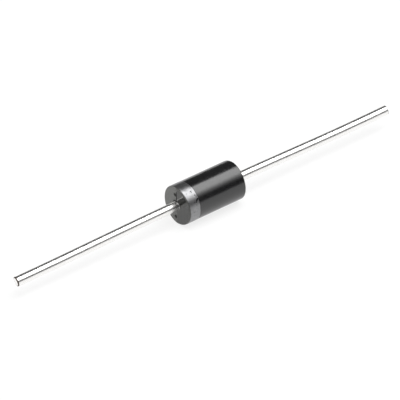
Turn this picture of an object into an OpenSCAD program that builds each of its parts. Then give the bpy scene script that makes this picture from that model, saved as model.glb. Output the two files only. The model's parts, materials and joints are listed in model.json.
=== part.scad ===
// Axial rectifier diode: a silicon die soldered between two nail-headed lead
// wires, coated in silicone rubber and moulded into a round epoxy body.
// The axis runs along X, cathode at -X and anode at +X, with the origin at the
// centre of the body. The mould halves part at the XZ plane.

/* [Body] */
// Diameter of the moulded body
body_d = 5.3; // [4.8:0.1:5.6]
// Length of the moulded body along its parting line
body_l = 9.35; // [8.5:0.05:9.5]
// Draft of each half of an end face, in degrees
end_draft = 2.5; // [0.5:0.25:4]

/* [Cathode band] */
// Width of the printed band, from the rim inwards
band_w = 1.8; // [1.2:0.1:2.6]
// Thickness of the dried ink
band_t = 0.02; // [0.01:0.01:0.05]

/* [Leads] */
// Diameter of the lead wire
lead_d = 1.3; // [1.0:0.05:1.4]
// Length of each lead outside the body
lead_l = 25.6; // [20:0.2:28]
// Bevel left round the cut tip of each lead
tip_bevel = 0.06; // [0.02:0.01:0.15]
// Thickness of the nail head that carries the die
head_t = 0.7; // [0.5:0.05:1.0]
// Lip of the nail head beyond the corners of the die
head_lip = 0.05; // [0:0.01:0.15]
// Length of the neck, the cone between the nail head and the wire
neck_l = 0.45; // [0.2:0.05:0.8]
// Height of the neck above the wire where it leaves the head
neck_rise = 0.35; // [0.1:0.05:0.5]

/* [Anchor] */
// Depth below the end face at which the wire starts to widen
anchor_depth = 0.1; // [0.05:0.01:0.12]
// Length of the cone over which the wire widens
anchor_cone_l = 0.5; // [0.3:0.05:0.8]
// Length of the round land behind the cone
anchor_land_l = 0.5; // [0.3:0.05:0.8]
// Height of the land above the wire
anchor_rise = 0.25; // [0.1:0.05:0.4]

/* [Junction] */
// Side of the square silicon die
die_side = 2.0; // [1.6:0.1:2.2]
// Thickness of the die
die_t = 0.28; // [0.2:0.02:0.36]
// Thickness of each solder layer
solder_t = 0.05; // [0.03:0.01:0.1]
// Reach of the rubber bead over the rim of each nail head
coating_wrap = 0.35; // [0.2:0.05:0.45]

/* [Hidden] */
$fn = 96;

body_r = body_d / 2;
lead_r = lead_d / 2;
body_end = body_l / 2;
tip_x = body_end + lead_l;
stack_end = die_t / 2 + solder_t;
head_r = die_side / sqrt(2) + head_lip;
head_end = stack_end + head_t;
anchor_end = body_end - anchor_depth;
bead_r = stack_end + coating_wrap;

// Stands a round form, drawn along Z, on the axis of the diode at x.
module on_axis(x) {
    translate([x, 0, 0]) rotate([0, 90, 0]) children();
}

// Space between the four drafted end planes: each end is a shallow roof
// with its ridge on the parting plane.
module between_end_faces() {
    half_w = body_d;
    side_end = body_end - half_w * tan(end_draft);
    linear_extrude(height = 2 * body_d, center = true)
        polygon([
            [-body_end, 0], [-side_end, -half_w], [side_end, -half_w],
            [body_end, 0], [side_end, half_w], [-side_end, half_w]
        ]);
}

// One lead, drawn towards +X: nail head, neck, wire, anchor, bevelled tip.
module lead_form() {
    anchor_r = lead_r + anchor_rise;
    cone_x = anchor_end - anchor_cone_l;
    bevel_x = tip_x - tip_bevel;
    on_axis(stack_end) cylinder(r = head_r, h = head_t);
    on_axis(head_end) cylinder(r1 = lead_r + neck_rise, r2 = lead_r, h = neck_l);
    on_axis(head_end) cylinder(r = lead_r, h = bevel_x - head_end);
    on_axis(cone_x - anchor_land_l) cylinder(r = anchor_r, h = anchor_land_l);
    on_axis(cone_x) cylinder(r1 = anchor_r, r2 = lead_r, h = anchor_cone_l);
    on_axis(bevel_x) cylinder(r1 = lead_r, r2 = lead_r - tip_bevel, h = tip_bevel);
}

// Both leads, as they lie in the mould.
module lead_pair() {
    lead_form();
    mirror([1, 0, 0]) lead_form();
}

// Outer form of the rubber: a bead round the rims of both nail heads.
module bead_form() {
    on_axis(0) rotate_extrude() translate([head_r, 0]) circle(r = bead_r);
    on_axis(-stack_end) cylinder(r = head_r, h = 2 * stack_end);
}

// One square layer of the soldered stack, centred on x.
module stack_layer(x, thickness) {
    translate([x, 0, 0]) cube([thickness, die_side, die_side], center = true);
}

module moulded_case() {
    color("#1d1e20")
        difference() {
            intersection() {
                on_axis(-body_end) cylinder(r = body_r, h = body_l);
                between_end_faces();
            }
            lead_pair();
            bead_form();
        }
}

module cathode_band() {
    color("#c9cbce")
        intersection() {
            on_axis(-body_end)
                rotate_extrude()
                    translate([body_r, 0]) square([band_t, band_w]);
            between_end_faces();
        }
}

module cathode_lead() {
    color("#dcdcd8") mirror([1, 0, 0]) lead_form();
}

module anode_lead() {
    color("#dcdcd8") lead_form();
}

module silicon_die() {
    color("#4a4f5c") stack_layer(0, die_t);
}

module cathode_solder() {
    color("#a8a9ab") stack_layer(-(die_t + solder_t) / 2, solder_t);
}

module anode_solder() {
    color("#a8a9ab") stack_layer((die_t + solder_t) / 2, solder_t);
}

module junction_coating() {
    color("#eceae4")
        difference() {
            bead_form();
            lead_pair();
            stack_layer(0, 2 * stack_end);
        }
}

moulded_case();
cathode_band();
cathode_lead();
anode_lead();
silicon_die();
cathode_solder();
anode_solder();
junction_coating();
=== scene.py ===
import json
import math

import bmesh
import bpy
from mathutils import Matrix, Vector, noise


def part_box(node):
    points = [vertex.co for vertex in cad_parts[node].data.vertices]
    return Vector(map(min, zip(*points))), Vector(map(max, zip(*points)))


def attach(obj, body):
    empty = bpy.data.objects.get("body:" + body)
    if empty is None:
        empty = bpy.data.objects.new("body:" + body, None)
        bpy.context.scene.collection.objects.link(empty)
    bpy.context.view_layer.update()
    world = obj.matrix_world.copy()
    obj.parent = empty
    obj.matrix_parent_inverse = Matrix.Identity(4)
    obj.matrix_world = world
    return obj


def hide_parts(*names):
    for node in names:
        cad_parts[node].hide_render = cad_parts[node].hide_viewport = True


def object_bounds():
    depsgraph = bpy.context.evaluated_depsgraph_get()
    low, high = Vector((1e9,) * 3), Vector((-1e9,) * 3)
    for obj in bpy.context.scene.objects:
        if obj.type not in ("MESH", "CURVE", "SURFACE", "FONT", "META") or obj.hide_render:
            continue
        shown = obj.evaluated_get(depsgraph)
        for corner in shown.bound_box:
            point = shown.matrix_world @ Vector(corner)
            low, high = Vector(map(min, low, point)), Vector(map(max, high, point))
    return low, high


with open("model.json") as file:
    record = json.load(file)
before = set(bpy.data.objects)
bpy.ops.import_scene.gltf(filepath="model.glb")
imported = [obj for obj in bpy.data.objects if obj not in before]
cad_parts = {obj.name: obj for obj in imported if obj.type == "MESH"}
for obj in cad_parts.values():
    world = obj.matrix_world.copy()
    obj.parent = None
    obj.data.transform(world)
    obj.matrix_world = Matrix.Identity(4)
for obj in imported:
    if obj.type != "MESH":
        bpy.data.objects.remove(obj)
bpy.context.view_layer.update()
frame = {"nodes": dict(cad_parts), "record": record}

# ---------------------------------------------------------------------------
# Silicon die. A square chip sawn from a wafer, etched round its edges and
# coated with thin metal on both faces so that solder will wet it.
# ---------------------------------------------------------------------------


def new_finish(name, colour, roughness, metallic=0.0):
    """Starts a material whose even values sit on the shader itself."""
    finish = bpy.data.materials.new(name)
    finish.use_nodes = True
    shader = finish.node_tree.nodes["Principled BSDF"]
    shader.inputs["Base Color"].default_value = (*colour, 1.0)
    shader.inputs["Roughness"].default_value = roughness
    shader.inputs["Metallic"].default_value = metallic
    return finish


def add_node(finish, kind, inputs, **settings):
    """Adds a node: a socket among its inputs is linked, a plain value is set."""
    made = finish.node_tree.nodes.new(kind)
    for name, value in settings.items():
        setattr(made, name, value)
    for name, value in inputs.items():
        if isinstance(value, bpy.types.NodeSocket):
            finish.node_tree.links.new(value, made.inputs[name])
        else:
            made.inputs[name].default_value = value
    return made


def feed(finish, socket, value):
    """Links a value to one of the shader's sockets."""
    shader = finish.node_tree.nodes["Principled BSDF"]
    finish.node_tree.links.new(value, shader.inputs[socket])


def place_on_part(finish):
    """The point's own place on the diode, in metres."""
    return add_node(finish, "ShaderNodeTexCoord", {}).outputs["Object"]


def grain(finish, size_mm, stretch=(1.0, 1.0, 1.0), detail=3.0):
    """Soft noise from 0 to 1 whose lumps are about size_mm across."""
    spread = add_node(
        finish, "ShaderNodeMapping", {"Vector": place_on_part(finish), "Scale": stretch}
    )
    lumps = {"Vector": spread.outputs["Vector"], "Scale": 1000.0 / size_mm, "Detail": detail}
    return add_node(finish, "ShaderNodeTexNoise", lumps).outputs["Fac"]


def ramp(finish, value, from_low, from_high, to_low, to_high):
    """Stretches a value from one range to another, clamped at both ends."""
    inputs = {
        "Value": value,
        "From Min": from_low,
        "From Max": from_high,
        "To Min": to_low,
        "To Max": to_high,
    }
    return add_node(finish, "ShaderNodeMapRange", inputs).outputs["Result"]


def blend_colours(finish, share, first, second):
    """Mixes two colours; a colour may be a triple or another node's output."""
    inputs = {0: share}
    for index, colour in ((6, first), (7, second)):
        inputs[index] = colour if isinstance(colour, bpy.types.NodeSocket) else (*colour, 1.0)
    return add_node(finish, "ShaderNodeMix", inputs, data_type="RGBA").outputs[2]


def raise_surface(finish, height, depth_mm, over=None):
    """Adds relief of the given depth, on top of earlier relief if there is any."""
    inputs = {"Height": height, "Distance": depth_mm / 1000.0, "Strength": 1.0}
    if over is not None:
        inputs["Normal"] = over
    return add_node(finish, "ShaderNodeBump", inputs).outputs["Normal"]


def dress(node, finish):
    """Gives a CAD piece its finish, with its shape left as it is."""
    for held in frame["nodes"][node].material_slots:
        held.material = finish


silicon = new_finish("etched_silicon", (0.1, 0.11, 0.14), 0.3, metallic=0.35)
die_colour = blend_colours(silicon, grain(silicon, 0.4), (0.07, 0.08, 0.11), (0.14, 0.15, 0.19))
feed(silicon, "Base Color", die_colour)
feed(silicon, "Roughness", ramp(silicon, grain(silicon, 0.15), 0.3, 0.7, 0.2, 0.45))
feed(silicon, "Normal", raise_surface(silicon, grain(silicon, 0.05), 0.004))
dress("silicon_die", silicon)

# ---------------------------------------------------------------------------
# Solder layers. One thin preform of high-lead solder on each face of the die,
# melted in the furnace between the die and the nail heads of the leads.
# ---------------------------------------------------------------------------

solder = new_finish("dull_solder", (0.5, 0.5, 0.51), 0.5, metallic=1.0)
joint_colour = blend_colours(solder, grain(solder, 0.2), (0.42, 0.42, 0.43), (0.58, 0.58, 0.59))
feed(solder, "Base Color", joint_colour)
feed(solder, "Roughness", ramp(solder, grain(solder, 0.1), 0.3, 0.7, 0.4, 0.62))
feed(solder, "Normal", raise_surface(solder, grain(solder, 0.08), 0.006))
dress("cathode_solder", solder)
dress("anode_solder", solder)

# ---------------------------------------------------------------------------
# Lead wires. Drawn copper, with a nail head, a neck and an anchor upset from
# the wire, sheared to length. What stands out of the body is plated with tin.
# ---------------------------------------------------------------------------

MM = 0.001
anode_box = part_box("anode_lead")
inner_end = anode_box[0].x / MM
tip = anode_box[1].x / MM
head_r = anode_box[1].z / MM
body_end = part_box("moulded_case")[1].x / MM
pins = {mount["name"]: mount["dims"] for mount in frame["record"]["mounts"]}
lead_r = pins["anode_pin"]["r_mm"]
head_t = 0.7
neck_l = 0.45
neck_rise = 0.35
anchor_depth = 0.1
anchor_cone_l = 0.5
anchor_land_l = 0.5
anchor_rise = 0.25
head_end = inner_end + head_t
neck_end = head_end + neck_l
neck_r = lead_r + neck_rise
anchor_end = body_end - anchor_depth
anchor_cone = anchor_end - anchor_cone_l
anchor_start = anchor_cone - anchor_land_l
anchor_r = lead_r + anchor_rise
# the sheared rim: its bevel, and the width of the dark ring on the wire and on the cut face
tip_bevel = 0.06
burr_w = 0.13
# how much longer one side of the cut end is than the other, and which way (y, z) the shears went
cut_lean = 0.32
shear_y = 0.74
shear_z = -0.67
# how far each wire hangs below its straight line, and where along it that is most
wire_sag = {-1: (0.29, 1.0), 1: (0.21, 0.72)}
# slow unevenness of the drawn wire, which sets in over the first twelfth of its free length
wave_l = 3.0
wave_depth = 0.004
wave_onset = 1 / 12
wire_rings = 90
wire_columns = 72


def even_columns(count):
    """Angles of evenly spaced columns, whatever the radius."""
    return lambda r: [2 * math.pi * k / count for k in range(count)]


def turned(name, profile, columns, point, closed=False):
    """A piece turned about the X axis: a ring of points for each step of the profile."""
    rings = [[point(*step, angle) for angle in columns(step[1])] for step in profile]
    count = len(rings[0])
    corners = [Vector(p) * MM for ring in rings for p in ring]
    faces = []
    for i in range(len(rings) if closed else len(rings) - 1):
        j = (i + 1) % len(rings)
        for k in range(count):
            m = (k + 1) % count
            faces.append((i * count + k, i * count + m, j * count + m, j * count + k))
    if not closed:
        faces.append(tuple(range(count)))
        faces.append(tuple(range((len(rings) - 1) * count, len(rings) * count)))
    mesh = bpy.data.meshes.new(name)
    mesh.from_pydata(corners, [], faces)
    shell = bmesh.new()
    shell.from_mesh(mesh)
    bmesh.ops.recalc_face_normals(shell, faces=shell.faces)
    shell.to_mesh(mesh)
    shell.free()
    mesh.polygons.foreach_set("use_smooth", [True] * len(mesh.polygons))
    mesh.set_sharp_from_angle(angle=math.radians(38))
    piece = bpy.data.objects.new(name, mesh)
    bpy.context.collection.objects.link(piece)
    return piece


def lead_profile():
    """Steps (x, r) of one lead, from the face of its nail head to its tip."""
    wire_end = tip - tip_bevel - burr_w
    wire = [anchor_end + (wire_end - anchor_end) * k / wire_rings for k in range(wire_rings + 1)]
    return [
        (inner_end, head_r), (head_end, head_r), (head_end, neck_r), (neck_end, lead_r),
        (anchor_start, lead_r), (anchor_start, anchor_r), (anchor_cone, anchor_r),
        *((x, lead_r) for x in wire),
        (tip - tip_bevel, lead_r - 0.2 * tip_bevel), (tip, lead_r - burr_w), (tip, 0.6 * lead_r),
    ]


def wire_point(side):
    """Where a lead's points lie: the wire sags and waves a little, its cut end leans."""
    sag, lowest = wire_sag[side]

    def point(x, r, angle):
        free = max((x - body_end) / (tip - body_end), 0.0)
        wave = noise.noise(Vector((x / wave_l, math.sin(angle), side * 7.0)))
        r_here = r + wave_depth * wave * min(free / wave_onset, 1.0)
        y, z = -r_here * math.sin(angle), r_here * math.cos(angle)
        lean = (1.0 - side * (shear_y * y + shear_z * z) / lead_r) / 2
        near_cut = max(1.0 - (tip - x) / (1.5 * cut_lean), 0.0)
        drop = sag * math.sin(math.pi / 2 * min(free, 1.0) / lowest) ** 2
        return (side * (x - cut_lean * lean * near_cut), y, z - drop)
    return point


def worked(finish, operation, *values, **settings):
    """A number worked out from others, such as their product or the larger one."""
    inputs = dict(enumerate(values))
    return add_node(finish, "ShaderNodeMath", inputs, operation=operation, **settings).outputs[0]


tinned = new_finish("tinned_wire", (0.92, 0.915, 0.905), 0.25, metallic=1.0)
along = add_node(tinned, "ShaderNodeSeparateXYZ", {"Vector": place_on_part(tinned)}).outputs["X"]
from_middle = worked(tinned, "ABSOLUTE", along)
plated = ramp(tinned, from_middle, (body_end - 0.05) * MM, (body_end - 0.03) * MM, 0.0, 1.0)
draw_lines = grain(tinned, 0.06, stretch=(0.02, 1.0, 1.0), detail=2.0)
clouds = grain(tinned, 1.2)
tin_colour = blend_colours(tinned, clouds, (0.88, 0.87, 0.85), (0.95, 0.945, 0.935))
feed(tinned, "Base Color", blend_colours(tinned, plated, (0.86, 0.45, 0.3), tin_colour))
feed(tinned, "Roughness", ramp(tinned, grain(tinned, 0.9), 0.3, 0.7, 0.23, 0.31))
feed(tinned, "Normal", raise_surface(tinned, draw_lines, 0.0002))

sheared = new_finish("sheared_edge", (0.1, 0.085, 0.07), 0.5, metallic=1.0)
burr_colour = blend_colours(sheared, grain(sheared, 0.15), (0.05, 0.042, 0.036), (0.16, 0.13, 0.11))
feed(sheared, "Base Color", burr_colour)
feed(sheared, "Roughness", ramp(sheared, grain(sheared, 0.1), 0.3, 0.7, 0.35, 0.6))
feed(sheared, "Normal", raise_surface(sheared, grain(sheared, 0.06), 0.01))

# the last strip of faces is the cut face, and the two before it are the sheared rim
rim_to = (len(lead_profile()) - 2) * wire_columns
rim_from = rim_to - 2 * wire_columns
for node, side in (("cathode_lead", -1), ("anode_lead", 1)):
    lead = turned(node + "_wire", lead_profile(), even_columns(wire_columns), wire_point(side))
    lead.data.materials.append(tinned)
    lead.data.materials.append(sheared)
    for face in lead.data.polygons[rim_from:rim_to]:
        face.material_index = 1
    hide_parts(node)
    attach(lead, "root")

# ---------------------------------------------------------------------------
# Junction coating. Silicone rubber dispensed as a bead round the soldered
# stack and cured, to seal the bare edges of the die.
# ---------------------------------------------------------------------------

rubber = new_finish("milky_silicone", (0.82, 0.8, 0.76), 0.35)
bead_colour = blend_colours(rubber, grain(rubber, 0.8), (0.76, 0.74, 0.69), (0.87, 0.85, 0.81))
feed(rubber, "Base Color", bead_colour)
feed(rubber, "Roughness", ramp(rubber, grain(rubber, 0.3), 0.3, 0.7, 0.28, 0.45))
feed(rubber, "Normal", raise_surface(rubber, grain(rubber, 0.25), 0.01))
dress("junction_coating", rubber)

# ---------------------------------------------------------------------------
# Moulded case. Black epoxy, transfer moulded in one shot round the soldered
# inside. The mould halves meet at the XZ plane and leave a fine crease there.
# ---------------------------------------------------------------------------

body_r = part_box("moulded_case")[1].z / MM
bead_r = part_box("junction_coating")[1].x / MM
end_draft = 2.5
end_slope = math.tan(math.radians(end_draft))
rim_r = 0.15
# how far in from each end the draft of its face has faded out of the side
draft_fade = 0.5
# the crease of the parting plane: half its width, its depth on an end face above and below the
# wire, the height where it runs out towards the rim, and its depth along the side
crease_half_w = 0.055
end_crease_depth = 0.07
low_crease_share = 0.35
end_crease_top = 2.24
end_crease_fade = 0.3
side_crease_depth = 0.012
# (y, z, radius, depth) of the marks that the mould left in the cathode end; the second stands proud
end_pits = ((0.31, 1.56, 0.19, 0.1), (0.41, 2.08, 0.12, -0.04), (0.11, -1.7, 0.19, 0.1))
# distances from the parting plane of the columns that shape the crease
crease_steps = (0.0, 0.02, 0.045, 0.075, 0.11, 0.16)
half_turn_columns = 104
rim_steps = 6
end_rings = 26
side_rings = 60
bead_steps = 8


def case_columns(r):
    """Angles of the case's columns: fine beside the parting plane, even elsewhere."""
    fine = [math.asin(w / r) for w in crease_steps]
    span = math.pi - 2 * fine[-1]
    even = [fine[-1] + span * k / half_turn_columns for k in range(1, half_turn_columns)]
    half = fine + even + [math.pi - a for a in reversed(fine)]
    return half + [2 * math.pi - a for a in reversed(half[1:-1])]


def case_skin(x, r, angle):
    """A point of the outer skin, with drafted ends, crease and pits."""
    side = math.copysign(1.0, x)
    y, z = -r * math.sin(angle), r * math.cos(angle)
    crease = math.exp(-((y / crease_half_w) ** 2))
    on_end = min(max((abs(x) - body_end + draft_fade) / (draft_fade - rim_r), 0.0), 1.0)
    depth = on_end * abs(y) * end_slope
    if r < body_r - 0.5 * rim_r:
        run_out = min(max((end_crease_top - z) / end_crease_fade, 0.0), 1.0)
        depth += end_crease_depth * crease * (run_out if z > 0 else low_crease_share)
        for pit_y, pit_z, pit_r, pit_depth in end_pits if side < 0 else ():
            depth += pit_depth * math.exp(-(((y - pit_y) ** 2 + (z - pit_z) ** 2) / pit_r**2) * 2)
    shrink = 1 - side_crease_depth * crease * (1 + noise.noise(Vector((x * 2, 0, z)))) / r
    on_side = min(max((r - body_r + rim_r) / rim_r, 0.0), 1.0)
    scale = 1 + (shrink - 1) * on_side
    return (x - side * depth, y * scale, z * scale)


def case_point(x, r, skin, angle):
    """A point of the case: on its skin, or on the cavity that the inside fills."""
    if skin:
        return case_skin(x, r, angle)
    return (x, -r * math.sin(angle), r * math.cos(angle))


def rim_arc():
    """Steps (x, r) round the rim of the anode end, from the end face to the side."""
    turns = [math.pi / 2 * k / rim_steps for k in range(rim_steps + 1)]
    centre_x = body_end - rim_r
    centre_r = body_r - rim_r
    return [(centre_x + rim_r * math.cos(a), centre_r + rim_r * math.sin(a)) for a in turns]


def case_profile():
    """Steps (x, r, skin) once round the case: both ends, the side and the cavity."""
    face_w = body_r - rim_r - lead_r
    face = [(body_end, lead_r + face_w * k / end_rings) for k in range(end_rings)]
    anode_end = face + rim_arc()
    half_side = body_end - rim_r
    side = [half_side * (1 - 2 * k / side_rings) for k in range(1, side_rings)]
    outside = [(x, r, True) for x, r in anode_end]
    outside += [(x, body_r, True) for x in side]
    outside += [(-x, r, True) for x, r in reversed(anode_end)]
    half_turns = [math.pi / 2 * k / bead_steps for k in range(bead_steps + 1)]
    bead = [(bead_r * math.cos(a), head_r + bead_r * math.sin(a)) for a in half_turns]
    inside = [
        (anchor_end, lead_r), (anchor_cone, anchor_r), (anchor_start, anchor_r),
        (anchor_start, lead_r), (neck_end, lead_r), (head_end, neck_r), (head_end, head_r), *bead,
    ]
    cathode_inside = [(-x, r, False) for x, r in inside]
    anode_inside = [(x, r, False) for x, r in reversed(inside[:-1])]
    return outside + cathode_inside + anode_inside


def distance(finish, place, centre):
    """How far a place is from a centre, in metres."""
    inputs = {0: place, 1: centre}
    return add_node(finish, "ShaderNodeVectorMath", inputs, operation="DISTANCE").outputs["Value"]


epoxy = new_finish("black_epoxy", (0.005, 0.005, 0.0055), 0.16)
epoxy.node_tree.nodes["Principled BSDF"].inputs["IOR"].default_value = 1.7
place = place_on_part(epoxy)
across = add_node(epoxy, "ShaderNodeSeparateXYZ", {"Vector": place}).outputs

# 0 on the side and 1 on the end faces, by the way the surface faces
facing = add_node(epoxy, "ShaderNodeTexCoord", {}).outputs["Normal"]
facing_x = add_node(epoxy, "ShaderNodeSeparateXYZ", {"Vector": facing}).outputs["X"]
faces_axis = worked(epoxy, "ABSOLUTE", facing_x)
on_end = ramp(epoxy, faces_axis, 0.55, 0.9, 0.0, 1.0)

# the two mould halves meet at the ridge of each end face; the back (+Y) half is painted paler and the
# front half darker, painted light and shade for how the two drafted halves catch the light
side_colour = blend_colours(epoxy, grain(epoxy, 0.9), (0.003, 0.003, 0.0035), (0.007, 0.007, 0.0075))
shaded_front_colour = blend_colours(epoxy, grain(epoxy, 0.35), (0.006, 0.0065, 0.005), (0.012, 0.0125, 0.01))
lit_back_half = ramp(epoxy, across["Y"], -0.1 * MM, 0.1 * MM, 0.0, 1.0)
shaded_end_colour = blend_colours(epoxy, lit_back_half, shaded_front_colour, (0.055, 0.056, 0.05))

# painted shade: the end faces are darkened in the upper crease, in the pits and in a ring over the
# upper half of each wire, where shade falls
from_parting = worked(epoxy, "ABSOLUTE", across["Y"])
in_crease = ramp(epoxy, from_parting, 0.07 * MM, 0.13 * MM, 1.0, 0.0)
above_wire = ramp(epoxy, across["Z"], lead_r * MM, (lead_r + 0.1) * MM, 0.0, 1.0)
crease_fade_from = (end_crease_top - end_crease_fade) * MM
below_top = ramp(epoxy, across["Z"], crease_fade_from, end_crease_top * MM, 1.0, 0.0)
painted_shade = worked(epoxy, "MULTIPLY", worked(epoxy, "MULTIPLY", in_crease, above_wire), below_top)
for pit_y, pit_z, pit_r, pit_depth in end_pits:
    if pit_depth > 0:
        gap = distance(epoxy, place, (-body_end * MM, pit_y * MM, pit_z * MM))
        in_pit = ramp(epoxy, gap, 1.1 * pit_r * MM, 1.7 * pit_r * MM, 1.0, 0.0)
        painted_shade = worked(epoxy, "MAXIMUM", painted_shade, in_pit)
crosswise = {0: place, 1: (0.0, 1.0, 1.0)}
off_axis = add_node(epoxy, "ShaderNodeVectorMath", crosswise, operation="MULTIPLY").outputs["Vector"]
from_axis = distance(epoxy, off_axis, (0.0, 0.0, 0.0))
at_wire = ramp(epoxy, from_axis, (lead_r + 0.1) * MM, (lead_r + 0.28) * MM, 1.0, 0.0)
upper_half = ramp(epoxy, across["Z"], 0.0, 0.3 * MM, 0.0, 1.0)
painted_shade = worked(epoxy, "MAXIMUM", painted_shade, worked(epoxy, "MULTIPLY", at_wire, upper_half))
# the end faces are darkened to near black where the shade is painted
shaded_end_colour = blend_colours(epoxy, painted_shade, shaded_end_colour, (0.004, 0.004, 0.003))

# the rounded rims are rubbed dull and a little paler
worn_from = ramp(epoxy, faces_axis, 0.08, 0.3, 0.0, 1.0)
worn_to = ramp(epoxy, faces_axis, 0.93, 0.985, 1.0, 0.0)
rim_band = worked(epoxy, "MULTIPLY", worn_from, worn_to)
# the rim wear is kept off the painted shade
worn_rim = worked(epoxy, "SUBTRACT", rim_band, painted_shade, use_clamp=True)
skin_colour = blend_colours(epoxy, on_end, side_colour, shaded_end_colour)
feed(epoxy, "Base Color", blend_colours(epoxy, worn_rim, skin_colour, (0.05, 0.05, 0.046)))

side_gloss = ramp(epoxy, grain(epoxy, 0.5), 0.3, 0.7, 0.17, 0.25)
end_gloss = ramp(epoxy, grain(epoxy, 0.2), 0.3, 0.7, 0.1, 0.17)
# the end faces are also made rough where the shade is painted
end_gloss = ramp(epoxy, painted_shade, 0.0, 1.0, end_gloss, 0.9)
gloss = add_node(epoxy, "ShaderNodeMix", {0: on_end, 2: side_gloss, 3: end_gloss}).outputs[0]
feed(epoxy, "Roughness", ramp(epoxy, worn_rim, 0.0, 1.0, gloss, 0.55))
fine_relief = raise_surface(epoxy, grain(epoxy, 0.07), 0.0012)
feed(epoxy, "Normal", raise_surface(epoxy, grain(epoxy, 1.1, detail=1.0), 0.004, over=fine_relief))

case = turned("moulded_case_epoxy", case_profile(), case_columns, case_point, closed=True)
case.data.materials.append(epoxy)
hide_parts("moulded_case")
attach(case, "root")

# ---------------------------------------------------------------------------
# Cathode band. Silver pigment ink rolled on round the cathode end and cured: a
# thin bright skin with pinholes, missed spots and slightly ragged edges.
# ---------------------------------------------------------------------------

ink_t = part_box("cathode_band")[1].z / MM - body_r
band_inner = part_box("cathode_band")[1].x / MM
band_rings = 18
# the bare strip that the roller left beside the rim
rim_margin = 0.16
# how far the inner edge of the ink wanders; the edge beside the rim wanders a third as far
ragged = 0.035
# (x, degrees round from the top towards the front, radius) of spots that the ink missed, and how
# far their outlines are torn
ink_voids = (
    (-3.37, 27.6, 0.11), (-3.34, 31.0, 0.07), (-2.98, 54.0, 0.14), (-3.14, 57.0, 0.12),
    (-3.3, 61.0, 0.1), (-3.12, 42.0, 0.09), (-3.02, 45.5, 0.07),
)
void_tear = 0.16


def band_profile():
    """Steps (x, r) round the ink: its skin, thinner at both edges, then its seat on the case."""
    start = rim_margin - body_end
    seat = [(start + (band_inner - start) * k / band_rings, body_r) for k in range(band_rings + 1)]
    skin = [(x, r + ink_t * min(1.0, 0.3 + 3.0 * min(band_inner - x, x - start))) for x, r in seat]
    return skin + list(reversed(seat))


def band_point(x, r, angle):
    """A point of the ink: on the case's skin, with its edges a little uneven."""
    near_inner = (x - band_inner + 0.5) / 0.5
    near_rim = (rim_margin + 0.4 - body_end - x) / 1.2
    edge = min(max(near_inner, near_rim, 0.0), 1.0)
    wobble = noise.noise(Vector((math.cos(angle) * 4, math.sin(angle) * 4, 3.7 + x)))
    return case_skin(x + ragged * edge * wobble, r, angle)


ink = new_finish("silver_ink", (0.265, 0.266, 0.271), 0.27, metallic=1.0)
flakes = grain(ink, 0.12)
ink_colour = blend_colours(ink, grain(ink, 0.3), (0.18, 0.181, 0.186), (0.34, 0.341, 0.346))
covered = ramp(ink, grain(ink, 0.16, detail=1.0), 0.27, 0.3, 0.0, 1.0)
# the noise is 0.5 on average, so the centres of the spots shift by half the tear
tear = {"Vector": place_on_part(ink), "Scale": 6000.0}
uneven = add_node(ink, "ShaderNodeTexNoise", tear).outputs["Color"]
shift = {0: uneven, 1: [void_tear * MM] * 3, 2: place_on_part(ink)}
torn = add_node(ink, "ShaderNodeVectorMath", shift, operation="MULTIPLY_ADD").outputs["Vector"]
half_tear = Vector([void_tear * MM / 2] * 3)
for void_x, void_turn, void_r in ink_voids:
    turn = math.radians(void_turn)
    centre = Vector((void_x, -body_r * math.sin(turn), body_r * math.cos(turn))) * MM
    gap = distance(ink, torn, centre + half_tear)
    outside_void = ramp(ink, gap, 0.9 * void_r * MM, 1.1 * void_r * MM, 0.0, 1.0)
    covered = worked(ink, "MINIMUM", covered, outside_void)
feed(ink, "Base Color", blend_colours(ink, covered, (0.02, 0.02, 0.022), ink_colour))
feed(ink, "Roughness", ramp(ink, flakes, 0.3, 0.7, 0.3, 0.4))
feed(ink, "Normal", raise_surface(ink, flakes, 0.002))

band = turned("cathode_band_ink", band_profile(), case_columns, band_point, closed=True)
band.data.materials.append(ink)
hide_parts("cathode_band")
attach(band, "root")

# ---------------------------------------------------------------------------
# Floor. A plain white studio sweep, which carries the diode's soft shadow and
# curves up far away on all sides.
# ---------------------------------------------------------------------------

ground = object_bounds()[0].z
sweep_r = 1.9
sweep_wall = 0.12
sweep_rings = 12
sweep_columns = 96
# share of the paper that glows white by itself where it is seen; the rest takes light and shadow
own_light = 0.8

white = new_finish("white_paper", (0.9, 0.9, 0.9), 0.9)
ray = add_node(white, "ShaderNodeLightPath", {}).outputs
seen = worked(white, "MAXIMUM", ray["Is Camera Ray"], ray["Is Glossy Ray"])
seen = worked(white, "MAXIMUM", seen, ray["Is Transmission Ray"])
# far from the diode, where no shadow falls, the paper is seen as plain white
from_diode = distance(white, place_on_part(white), (0.0, 0.0, 0.0))
far_off = ramp(white, from_diode, 0.25, 0.8, 0.0, 1.0)
far_seen = worked(white, "MULTIPLY", ray["Is Camera Ray"], far_off)
glow_share = worked(white, "MAXIMUM", worked(white, "MULTIPLY", seen, own_light), far_seen)
glow = add_node(white, "ShaderNodeEmission", {"Color": (1.0, 1.0, 1.0, 1.0), "Strength": 1.0})
paper = white.node_tree.nodes["Principled BSDF"]
layers = {0: glow_share, 1: paper.outputs[0], 2: glow.outputs[0]}
both = add_node(white, "ShaderNodeMixShader", layers)
surface = white.node_tree.nodes["Material Output"].inputs["Surface"]
white.node_tree.links.new(both.outputs[0], surface)

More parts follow.
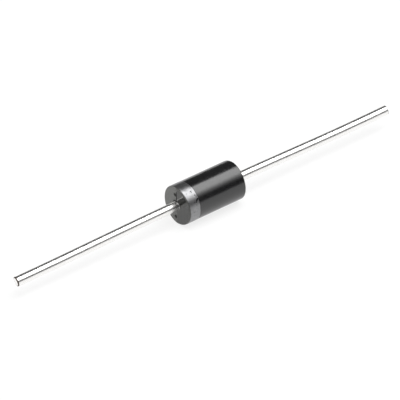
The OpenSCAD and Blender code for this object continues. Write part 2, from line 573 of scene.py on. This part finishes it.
flat = [(0.002, ground)]
flat += [(sweep_r * k / sweep_rings, ground) for k in range(1, sweep_rings + 1)]
rises = [math.pi / 2 * k / sweep_rings for k in range(1, sweep_rings + 1)]
curve = [(sweep_r + sweep_wall * math.sin(a), ground + sweep_wall * (1 - math.cos(a))) for a in rises]
sweep_turns = [2 * math.pi * k / sweep_columns for k in range(sweep_columns)]
floor_corners = [(r * math.cos(a), r * math.sin(a), z) for r, z in flat + curve for a in sweep_turns]
floor_faces = [tuple(range(sweep_columns))]
for ring in range(len(flat + curve) - 1):
    inner = ring * sweep_columns
    outer = inner + sweep_columns
    for k in range(sweep_columns):
        m = (k + 1) % sweep_columns
        floor_faces.append((inner + k, inner + m, outer + m, outer + k))
floor_mesh = bpy.data.meshes.new("floor")
floor_mesh.from_pydata(floor_corners, [], floor_faces)
floor = bpy.data.objects.new("floor", floor_mesh)
bpy.context.collection.objects.link(floor)
floor.data.materials.append(white)

# ---------------------------------------------------------------------------
# Light. One large softbox overhead that fades towards the front, a fill low
# behind the diode and one beyond its cathode end. The room itself is dim.
# ---------------------------------------------------------------------------

lamp_height = 1.2
# ends of the softbox along X, in lamp heights, and its edges in degrees from the vertical
left_reach = -0.35
right_reach = 1.25
back_edge = 13.0
front_edge = 28.0
full_light = 4.0
# (edge, share of the full light) of the panels that fade it out towards the front
fading_panels = ((34, 0.78), (40, 0.5), (46, 0.3), (52, 0.16), (58, 0.07))
room_light = 0.08


def softbox(name, centre, size_x, size_y, radiance):
    """A flat soft lamp that faces the diode, and whose face has the given radiance."""
    lamp = bpy.data.lights.new(name, "AREA")
    lamp.shape = "RECTANGLE"
    lamp.size = size_x
    lamp.size_y = size_y
    lamp.energy = radiance * size_x * size_y * math.pi
    made = bpy.data.objects.new(name, lamp)
    made.location = centre
    made.rotation_mode = "QUATERNION"
    made.rotation_quaternion = (-Vector(centre)).to_track_quat("-Z", "Y")
    bpy.context.collection.objects.link(made)
    return made


def overhead_panel(name, from_turn, to_turn, radiance):
    """A level panel overhead, between two angles from the vertical towards the front."""
    y_from = -lamp_height * math.tan(math.radians(from_turn))
    y_to = -lamp_height * math.tan(math.radians(to_turn))
    middle_x = lamp_height * (left_reach + right_reach) / 2
    width = lamp_height * (right_reach - left_reach)
    centre = (middle_x, (y_from + y_to) / 2, lamp_height)
    panel = softbox(name, centre, width, y_from - y_to, radiance)
    panel.rotation_quaternion = (1.0, 0.0, 0.0, 0.0)


overhead_panel("softbox_middle", -back_edge, front_edge, full_light)
edge_from = front_edge
for step, (edge_to, light_share) in enumerate(fading_panels, start=1):
    overhead_panel("softbox_edge_%d" % step, edge_from, edge_to, full_light * light_share)
    edge_from = edge_to
# the first fill lights the cathode end face, the second the wires as seen from the anode end
softbox("end_fill", (-0.4, 1.2, 0.3), 0.8, 0.8, 4.0)
softbox("side_fill", (-1.15, 0.1, 0.6), 0.8, 0.7, 2.5)

room = bpy.data.worlds.new("room")
room.use_nodes = True
room.node_tree.nodes["Background"].inputs["Color"].default_value = (1.0, 1.0, 1.0, 1.0)
room.node_tree.nodes["Background"].inputs["Strength"].default_value = room_light
bpy.context.scene.world = room

# ---------------------------------------------------------------------------
# Camera. A long lens well away from the diode, looking down on its cathode
# end from the front left.
# ---------------------------------------------------------------------------

azimuth = math.radians(-38.6)
elevation = math.radians(35.4)
camera_distance = 0.68
lens_mm = 481.41
# how far the aim lies to the left of the middle of the diode, and below it
aim_left = 0.665 * MM
aim_down = 0.943 * MM

away = -math.cos(azimuth) * math.cos(elevation)
back = Vector((math.sin(azimuth) * math.cos(elevation), away, math.sin(elevation)))
right = Vector((math.cos(azimuth), math.sin(azimuth), 0.0))
up = back.cross(right)
lens = bpy.data.cameras.new("camera")
lens.sensor_width = 36.0
lens.lens = lens_mm
lens.clip_start = 0.05
lens.clip_end = 10.0
camera = bpy.data.objects.new("camera", lens)
camera.location = back * camera_distance
camera.rotation_mode = "QUATERNION"
sight = -right * aim_left - up * aim_down - camera.location
camera.rotation_quaternion = sight.to_track_quat("-Z", "Y")
bpy.context.collection.objects.link(camera)
bpy.context.scene.camera = camera
bpy.context.scene.view_settings.view_transform = "Standard"
